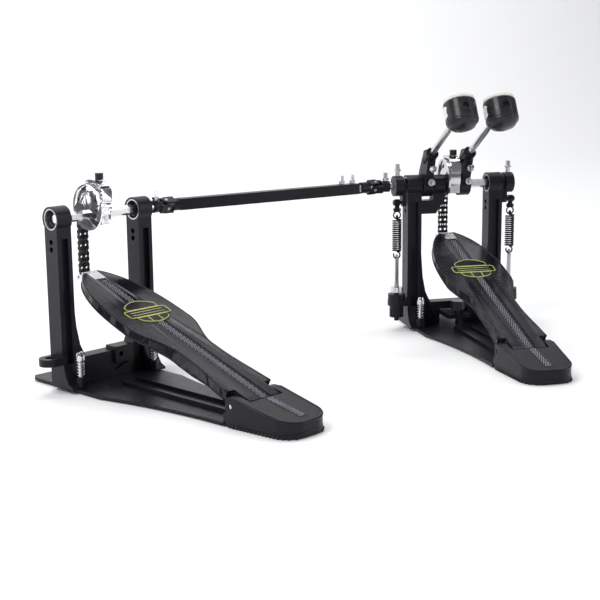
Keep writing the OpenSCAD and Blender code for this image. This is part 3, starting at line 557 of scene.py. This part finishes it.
def add_link(bm, pedal, first, second, outer):
    """Plates of one duplex link between two pins, given as (y, z) in the pedal's frame."""
    a = Vector((0, first[0], first[1]))
    b = Vector((0, second[0], second[1]))
    direction = (b - a).normalized()
    across = Vector((1, 0, 0))
    basis = Matrix((direction, across.cross(direction), across)).transposed().to_4x4()
    basis.translation = a
    m = pedal.matrix @ basis
    offset = OUTER_X if outer else INNER_X
    for strand in (-STRAND_X, STRAND_X):
        for side in (-1, 1):
            x = pedal.toe.x + strand + side * offset
            slab(bm, plate_outline((b - a).length), m, x - PLATE_T / 2, x + PLATE_T / 2)


def add_pin(bm, pedal, place):
    """Pin with riveted ends, and a roller in each strand."""
    middle = Matrix.Translation((pedal.toe.x, place[0], place[1]))
    m = pedal.matrix @ middle @ Matrix.Rotation(math.pi / 2, 4, "Y")
    end = CHAIN_HALF + 0.15 * MM
    rim = end - 0.3 * MM
    head_r, tip_r = PIN_R * 1.2, PIN_R * 0.7
    lathe(bm, [(0, -end), (tip_r, -end), (head_r, -rim), (head_r, rim), (tip_r, end), (0, end)], m, 12)
    half = INNER_X - PLATE_T / 2 - 0.05 * MM
    for strand in (-STRAND_X, STRAND_X):
        low, high = strand - half, strand + half
        lathe(bm, [(0, low), (ROLLER_R, low), (ROLLER_R, high), (0, high)], m, 14)


def chain_piece(pedal, name, pins, first_outer, body, node, own_pins):
    """Links from pin to pin, inner and outer by turns, with those pins that are the piece's own."""
    bm = bmesh.new()
    for i, (a, b) in enumerate(zip(pins, pins[1:])):
        add_link(bm, pedal, a, b, (i % 2 == 0) == first_outer)
    for place in own_pins:
        add_pin(bm, pedal, place)
    obj = make_object(name, bm, "chain_steel", body=body, replaced=(node,), smooth=False)
    soften(obj, 0.12 * MM, 40.0, 1)


def build_chains():
    """Each chain as its hanging strand, its lead off the cam, and its links on the cam."""
    for pedal in PEDALS:
        p = pedal.prefix
        base, top = pedal.toe, pedal.bend
        rise = top.z - base.z
        strand = [(base.y, base.z + rise * i / STRAND_LINKS) for i in range(STRAND_LINKS + 1)]
        centre_z = pedal.axle_h + CAM_RISE
        centre_y = pedal.span(p + "_cam")[1].y - CAM_DEPTH
        radius = top.y - centre_y
        step = math.degrees(2 * math.asin(CHAIN_PITCH / 2 / radius))
        links = LEAD_LINKS + CAM_LINKS
        arc = arc_points(centre_y, centre_z, radius, 0, step * links, links)
        wrap = arc[LEAD_LINKS:]
        middle = ((arc[0][0] + wrap[0][0]) / 2, (arc[0][1] + wrap[0][1]) / 2)
        lead = [arc[0], middle, wrap[0]]
        strand_node, lead_node = p + "_chain", p + "_chain_lead"
        chain_piece(pedal, p + "_chain_strand", strand, False, strand_node, strand_node, strand[1:])
        chain_piece(pedal, p + "_chain_lead_links", lead, True, lead_node, lead_node, [middle])
        chain_piece(pedal, p + "_chain_on_cam", wrap, True, p + "_drive", p + "_chain_wrap", wrap)


# ---------------------------------------------------------------- springs


def helix(radius, low, high, turns, per_turn=16):
    """Points of a coil round the Z axis."""
    steps = turns * per_turn
    points = []
    for i in range(steps + 1):
        a = 2 * math.pi * i / per_turn
        points.append(Vector((radius * math.cos(a), radius * math.sin(a), low + (high - low) * i / steps)))
    return points


def hook(radius, z, start, stop, sign, across):
    """Arc of a hook about a centre on the coil's axis at height z, in the XZ plane or the YZ plane."""
    arc = arc_points(0, 0, radius, start, stop, 12)
    return [Vector((x, 0, z + sign * y) if across else (0, x, z + sign * y)) for x, y in arc]


def build_return_springs():
    """Coils with a hook at each end, stretched between the swivel and the adjuster."""
    wire_r, pitch = 1.02 * MM, 2.75 * MM
    top_r, bottom_r, sink = 2.4 * MM, 4.3 * MM, 0.4 * MM
    for side in ("left", "right"):
        node = side + "_spring"
        low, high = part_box(node)
        centre = (low + high) / 2
        mean_r = (high.x - low.x) / 2 - wire_r
        turns = round((high.z - low.z - 2 * wire_r) / pitch)
        coil = helix(mean_r, low.z + wire_r, high.z - wire_r, turns)
        top_hook = hook(top_r, high.z + top_r - sink, -90, 200, 1, False)
        bottom_hook = hook(bottom_r, low.z - bottom_r + sink, -90, 210, -1, True)
        path = bottom_hook[::-1] + coil + top_hook
        bm = bmesh.new()
        tube(bm, path, wire_r, 8, matrix=Matrix.Translation((centre.x, centre.y, 0)))
        obj = make_object(side + "_return_spring", bm, "spring_steel")
        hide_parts(node)
        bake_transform(obj)


def build_spur_springs():
    """Short spring round each spur screw, between the post's boss and the screw's head."""
    coil_r, wire_r, turns, per_turn = 4.0 * MM, 0.85 * MM, 5, 14
    head_r, foot, head = 5.4 * MM, 15.4 * MM, 9.9 * MM
    for pedal in PEDALS:
        node = pedal.prefix + "_spurs"
        low, high = pedal.span(node)
        y = (low.y + high.y) / 2
        start, stop = low.z + foot, high.z - head
        for side, x in (("left", low.x + head_r), ("right", high.x - head_r)):
            place = pedal.matrix @ Matrix.Translation((x, y, 0))
            bm = bmesh.new()
            tube(bm, helix(coil_r, start, stop, turns, per_turn), wire_r, 8, matrix=place)
            obj = make_object(f"{pedal.prefix}_spur_spring_{side}", bm, "chrome")
            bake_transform(obj)


# ---------------------------------------------------------------- treads, badge, soles, felt


def add_stud(bm, m, x, y, half_x, half_y, height):
    """Low bar with sloping sides, on the tread."""
    base = [(-half_x, -half_y), (half_x, -half_y), (half_x, half_y), (-half_x, half_y)]
    bottom = [bm.verts.new(m @ Vector((x + a, y + b, -0.0001))) for a, b in base]
    top = [bm.verts.new(m @ Vector((x + a * 0.75, y + b * 0.65, height))) for a, b in base]
    for i in range(4):
        k = (i + 1) % 4
        bm.faces.new((bottom[i], bottom[k], top[k], top[i]))
    bm.faces.new(top)


def tread_piece(name, matrix, width, start, stop, body, replaced=()):
    """Strip with staggered rows of studs."""
    low, high, margin = -1.1 * MM, -0.5 * MM, 0.15 * MM
    half = width / 2 - margin
    bm = bmesh.new()
    slab(bm, [(-half, start), (half, start), (half, stop), (-half, stop)], matrix, low, high)
    make_object(name, bm, "tread_rubber", body=body, replaced=replaced, smooth=False)
    bm = bmesh.new()
    pitch, in_a_row, edge = 2.9 * MM, 3, 0.6 * MM
    gap = (width - 2 * edge) / (in_a_row + 0.5)
    m = matrix @ Matrix.Translation((0, 0, high))
    for row in range(int((stop - start - 2 * MM) / pitch)):
        y = start + 1.8 * MM + row * pitch
        first = edge - width / 2 + gap * (1.0 if row % 2 else 0.5)
        for k in range(in_a_row):
            add_stud(bm, m, first + k * gap, y, gap * 0.23, 0.55 * MM, 0.8 * MM)
    make_object(name + "_studs", bm, "tread_rubber", TREAD_STUD, smooth=False, body=body)


def build_treads():
    """Tread strips on the footboards, and on over the heel blocks."""
    heel_start, heel_stop, heel_back = -51 * MM, -0.5 * MM, 16 * MM
    nose_h, slope_run, sink = 14 * MM, 72 * MM, 1.5 * MM
    for pedal in PEDALS:
        board = pedal.board()
        inverse = board.inverted()
        node = pedal.prefix + "_tread"
        points = [inverse @ v.co for v in NODES[node].data.vertices]
        start, stop = min(p.y for p in points), max(p.y for p in points)
        width = max(p.x for p in points) - min(p.x for p in points)
        tread_piece(node + "_strip", board, width, start, stop, pedal.board_body, (node,))
        low, high = pedal.span(pedal.prefix + "_heel_block")
        slope = math.atan((high.z - (low.z + nose_h)) / slope_run)
        place = Matrix.Translation((0, pedal.hinge.y - heel_back, high.z - sink))
        heel = pedal.matrix @ place @ Matrix.Rotation(slope, 4, "X")
        name = pedal.prefix + "_heel_tread"
        tread_piece(name, heel, width, heel_start, heel_stop, pedal.frame_body)


def badge_panels():
    """Outlines of a blank badge: arched panel, wider band, rounded foot."""
    steps = 10
    across = [1 - 2 * i / steps for i in range(steps + 1)]
    arch = [(-20, 6), (20, 6)] + [(20 * t, 13 + 9 * (1 - t * t)) for t in across]
    band = [(-27, -7), (-25, -9), (26, -9), (27, -7), (27, 3), (25, 5), (-26, 5), (-27, 3)]
    foot = [(20, -10), (-20, -10)] + [(-17 * t, -17 - 5.5 * (1 - t * t)) for t in across]
    return [[Vector((x, y)) * MM for x, y in outline] for outline in (arch, band, foot)]


def build_badges():
    """Blank badge: dark raised panels with a bright outline, no lettering."""
    place_y, sink, top, line_r = 173 * MM, 0.3 * MM, 0.5 * MM, 0.5 * MM
    for pedal in PEDALS:
        m = pedal.board() @ Matrix.Translation((0, place_y, 0))
        plates, lines = bmesh.new(), bmesh.new()
        for outline in badge_panels():
            slab(plates, [tuple(p) for p in outline], m, -sink, top)
            tube(lines, [Vector((p.x, p.y, top)) for p in outline], line_r, 6, loop=True, matrix=m)
        for x in (-6.5, 6.5):
            tube(lines, [mm(x, -10, top / MM), mm(x, -21, top / MM)], line_r, 6, matrix=m)
        for y in (-4.5, 0.5):
            tube(lines, [mm(-21, y, top / MM), mm(21, y, top / MM)], line_r * 0.8, 6, matrix=m)
        name, body = pedal.prefix + "_badge", pedal.board_body
        make_object(name + "_plate", plates, "board_coat", body=body, smooth=False)
        make_object(name + "_lines", lines, material=BADGE_LINE, body=body)


def board_steps(pedal):
    """Place, half width and lowest edge of the footboard at each step of its outline, from the CAD."""
    inside, heel_end, near = 8.3 * MM, 10.3 * MM, 0.02 * MM
    inverse = pedal.board().inverted()
    points = [inverse @ v.co for v in NODES[pedal.prefix + "_footboard"].data.vertices]
    widths = {}
    for p in points:
        if abs(p.z) < near and p.x > inside and p.y > heel_end:
            key = round(p.y / MM, 1)
            widths[key] = max(widths.get(key, 0), p.x)
    steps = []
    for key, half in sorted(widths.items()):
        wall = [p.z for p in points if abs(p.y / MM - key) < 0.06 and abs(p.x - half) < 0.05 * MM]
        steps.append((key * MM, half, min(wall)))
    return steps


def build_board_rims():
    """Rounded lip along the footboard's top edge, and a bead along the foot of its skirt."""
    lip_r, lip_in, lip_down = 1.35 * MM, 0.5 * MM, 0.9 * MM
    bead_r, bead_in, bead_up = 1.1 * MM, 0.1 * MM, 1.0 * MM
    for pedal in PEDALS:
        steps = board_steps(pedal)
        bm = bmesh.new()
        for side in (-1, 1):
            lip = [Vector((side * (x - lip_in), y, -lip_down)) for y, x, z in steps]
            bead = [Vector((side * (x - bead_in), y, z + bead_up)) for y, x, z in steps]
            tube(bm, lip, lip_r, 10, matrix=pedal.board())
            tube(bm, bead, bead_r, 10, matrix=pedal.board())
        make_object(pedal.prefix + "_board_rim", bm, "board_coat", body=pedal.board_body)


def heel_path(pedal, inset):
    """Outline of the heel block from its front right corner round the nose to the left, as (x, y)."""
    corner, taper, front_gap = 22 * MM, 4 * MM, 13 * MM
    low, high = pedal.span(pedal.prefix + "_heel_block")
    half = (high.x - low.x) / 2 - inset
    tail = half + inset - taper - corner
    right = arc_points(tail, low.y + corner, corner - inset, 0, -90, 14)
    left = [(-x, y) for x, y in reversed(right)]
    front = high.y - front_gap
    return [(half, front)] + right + left + [(-half, front)]


def build_heel_rims():
    """Rounded lip round the heel block's sloping top, and a bead near its foot."""
    lip_r, lip_in, lip_down, nose_h, slope_back = 1.5 * MM, 0.9 * MM, 0.8 * MM, 14 * MM, 4 * MM
    bead_r, bead_in, bead_up = 0.8 * MM, 0.3 * MM, 3.6 * MM
    for pedal in PEDALS:
        low, high = pedal.span(pedal.prefix + "_heel_block")
        top_y = pedal.hinge.y - slope_back
        slope = (high.z - low.z - nose_h) / (top_y - low.y)
        lip = []
        for x, y in heel_path(pedal, lip_in):
            lip.append(Vector((x, y, high.z - slope * max(0, top_y - y) - lip_down)))
        bead = [Vector((x, y, low.z + bead_up)) for x, y in heel_path(pedal, bead_in)]
        bm = bmesh.new()
        tube(bm, lip, lip_r, 10, matrix=pedal.matrix)
        tube(bm, bead, bead_r, 8, matrix=pedal.matrix)
        make_object(pedal.prefix + "_heel_rim", bm, "black_coat", body=pedal.frame_body)


def felt_profile(radius, thick):
    """Half section of a felt disc from the middle of its back to the middle of its crowned face."""
    back = [(0, 0), (radius * 0.5, 0), (radius - 0.2 * MM, 0)]
    rim = [(radius, thick * 0.12), (radius, thick * 0.3), (radius - 0.1 * MM, thick * 0.5)]
    shoulder = [(radius - 0.9 * MM, thick * 0.7), (radius - 2.6 * MM, thick * 0.86)]
    face = [(radius - 5.5 * MM, thick * 0.95), (radius * 0.5, thick * 0.985)]
    middle = [(radius * 0.22, thick * 0.995), (0, thick * 0.995)]
    return back + rim + shoulder + face + middle


def fuzz(obj, base, axis, thick):
    """Pushes a felt's surface in and out by fine noise, apart from its back."""
    normals = [v.normal.copy() for v in obj.data.vertices]
    for v, n in zip(obj.data.vertices, normals):
        height = (v.co - base).dot(axis) / thick
        lump = mnoise.noise(v.co * 420) * 0.16 + mnoise.noise(v.co * 1300) * 0.1
        if height > 0.04:
            v.co += n * (lump - 0.12) * MM


def build_felts():
    """Felt pads: a slightly crowned disc with a soft, fuzzy rim."""
    for side in ("left", "right"):
        node = side + "_beater_felt"
        shaft = Vector(JOINTS[side + "_beater_height"]["axis"])
        axis = Vector((0, shaft.z, -shaft.y)).normalized()
        points = [v.co for v in NODES[node].data.vertices]
        along_axis = [p.dot(axis) for p in points]
        low, high = min(along_axis), max(along_axis)
        back = [p - axis * a for p, a in zip(points, along_axis) if abs(a - low) < 1e-5]
        middle = (min(back, key=lambda p: p.dot(shaft)) + max(back, key=lambda p: p.dot(shaft))) / 2
        middle.x = (min(p.x for p in points) + max(p.x for p in points)) / 2
        radius = max((p - middle).length for p in back)
        base = middle + axis * low
        thick = high - low
        bm = bmesh.new()
        lathe(bm, felt_profile(radius, thick), along(base, base + axis), 64)
        obj = make_object(side + "_felt_pad", bm, "felt")
        rounding = obj.modifiers.new("round", "SUBSURF")
        rounding.levels = rounding.render_levels = 2
        bpy.context.view_layer.objects.active = obj
        obj.select_set(True)
        bpy.ops.object.modifier_apply(modifier="round")
        obj.select_set(False)
        fuzz(obj, base, axis, thick)
        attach(obj, side + "_beater")
        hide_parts(node)


def build_labels():
    """Blank round label on each beater head's left side."""
    label_r, lift, rise, thickness, points = 8 * MM, 0.45 * MM, 0.25 * MM, 0.3 * MM, 40
    for side in ("left", "right"):
        low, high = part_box(side + "_beater_head")
        shaft = Vector(JOINTS[side + "_beater_height"]["axis"])
        axis = Vector((0, shaft.z, -shaft.y)).normalized()
        centre = (low + high) / 2
        centre.x = low.x
        place = centre + axis * 1.5 * MM
        m = along(place + Vector((rise, 0, 0)), place - Vector((1, 0, 0)), axis)
        head_r = (high.x - low.x) / 2
        rings = []
        for radius in (0.01 * MM, label_r * 0.5, label_r * 0.86, label_r):
            ring = []
            for x, y in arc_points(0, 0, radius, 0, 360, points)[:points]:
                sink = head_r - math.sqrt(max(head_r ** 2 - y * y, 0))
                ring.append(m @ Vector((x, y, lift - sink)))
            rings.append(ring)
        bm = bmesh.new()
        loft(bm, rings, close_ends=False)
        obj = make_object(side + "_beater_label", bm, material=LABEL, body=side + "_beater")
        obj.modifiers.new("thick", "SOLIDIFY").thickness = thickness


def heel_half(pedal, y):
    """Half width of the heel block at y, in the pedal's frame."""
    path = [p for p in heel_path(pedal, 0) if p[0] > 0]
    for (x0, y0), (x1, y1) in zip(path, path[1:]):
        if y1 <= y <= y0 and y0 > y1:
            return x1 + (x0 - x1) * (y - y1) / (y0 - y1)
    return path[0][0]


def build_soles():
    """Rubber soles: round cross ribs under the heel that show as a scalloped edge."""
    rib_r, pitch, past, floor_gap = 1.5 * MM, 4.6 * MM, 1.1 * MM, 0.05 * MM
    z = rib_r + floor_gap
    for pedal in PEDALS:
        for poly in NODES[pedal.prefix + "_sole"].data.polygons:
            poly.use_smooth = False
        low, high = pedal.span(pedal.prefix + "_heel_block")
        bm = bmesh.new()
        for row in range(int((high.y - low.y - 4 * MM) / pitch)):
            y = low.y + 2.5 * MM + row * pitch
            half = heel_half(pedal, y) + past
            tube(bm, [Vector((-half, y, z)), Vector((half, y, z))], rib_r, 12, matrix=pedal.matrix)
        make_object(pedal.prefix + "_heel_sole_ribs", bm, "sole_rubber", body=pedal.frame_body)


# ---------------------------------------------------------------- camera, light, floor


def build_camera():
    """Camera at the reference view: a 75 mm lens, left of the master pedal and a little above."""
    azimuth, pitch, roll = math.radians(-13.71), math.radians(11.42), math.radians(-0.54)
    level = Vector((-math.sin(azimuth), math.cos(azimuth), 0))
    ahead = level * math.cos(pitch) - Vector((0, 0, math.sin(pitch)))
    right = Vector((math.cos(azimuth), math.sin(azimuth), 0))
    up = right.cross(ahead)
    right_r = right * math.cos(roll) + up * math.sin(roll)
    up_r = up * math.cos(roll) - right * math.sin(roll)
    camera = bpy.data.objects.new("camera", bpy.data.cameras.new("camera"))
    m = Matrix((right_r, up_r, -ahead)).transposed().to_4x4()
    m.translation = Vector((-0.57222, -1.51132, 0.35883))
    camera.matrix_world = m
    camera.data.lens = 75.03
    camera.data.sensor_width = 36
    camera.data.clip_start = 0.05
    camera.data.clip_end = 50
    bpy.context.scene.collection.objects.link(camera)
    bpy.context.scene.camera = camera


def area_light(name, place, target, size, power):
    """White rectangle of light at a place, aimed at a target; size in metres, power in watts."""
    data = bpy.data.lights.new(name, "AREA")
    data.shape = "RECTANGLE"
    data.size, data.size_y = size
    data.energy = power
    light = bpy.data.objects.new(name, data)
    light.location = place
    light.rotation_euler = (Vector(target) - Vector(place)).to_track_quat("-Z", "Y").to_euler()
    bpy.context.scene.collection.objects.link(light)


def build_backdrop():
    """Pale floor that curves up into a backdrop behind the pedals."""
    depth, height, bend = 3.2, 3.0, 1.2
    profile = [(-4.0, 0.0), (depth - bend, 0.0)]
    profile += arc_points(depth - bend, bend, bend, -90, 0, 16)[1:]
    profile.append((depth, height))
    drop, half = 0.2 * MM, 4.5  # just below the soles, so that nothing shares its plane
    bm = bmesh.new()
    rows = [[bm.verts.new((x, y, z - drop)) for y, z in profile] for x in (-half, half)]
    for i in range(len(profile) - 1):
        bm.faces.new((rows[0][i], rows[1][i], rows[1][i + 1], rows[0][i + 1]))
    mesh = bpy.data.meshes.new("floor")
    bm.to_mesh(mesh)
    bm.free()
    for poly in mesh.polygons:
        poly.use_smooth = True
    floor = bpy.data.objects.new("floor", mesh)
    mesh.materials.append(Shader("pale_floor", (0.9, 0.9, 0.9), 0.7).material)
    bpy.context.scene.collection.objects.link(floor)


def build_studio():
    """Lights, dim world and backdrop of the reference view."""
    middle = (cad_low + cad_high) / 2
    area_light("key", (-1.3, -0.9, 1.5), middle, (0.8, 0.8), 16)
    area_light("top", (-0.2, 0.15, 2.0), (-0.2, 0.1, 0), (2.0, 0.5), 22)
    area_light("left_card", (-1.7, 0.35, 0.3), (-0.46, -0.15, 0.2), (1.5, 1.1), 9)
    area_light("board_band", (0.1, 1.5, 2.1), (-0.1, 0, 0.1), (0.9, 0.12), 3)
    area_light("right_strip", (1.5, -0.7, 0.7), middle, (0.3, 1.3), 7)
    area_light("backdrop_wash", (0, 1.6, 2.6), (0, 3.2, 0.9), (3.0, 0.4), 55)
    area_light("front_fill", (-0.2, -2.3, 1.6), middle, (1.6, 0.4), 10)
    world = bpy.data.worlds.new("studio")
    world.use_nodes = True
    background = world.node_tree.nodes["Background"]
    background.inputs["Color"].default_value = (0.9, 0.93, 1, 1)
    background.inputs["Strength"].default_value = 0.2
    bpy.context.scene.world = world
    bpy.context.scene.view_settings.view_transform = "Standard"
    build_backdrop()


build_camera()
build_studio()
finish_cad_nodes()
paint_small_parts()
build_chains()
build_return_springs()
build_spur_springs()
build_treads()
build_badges()
build_board_rims()
build_heel_rims()
build_felts()
build_labels()
build_soles()
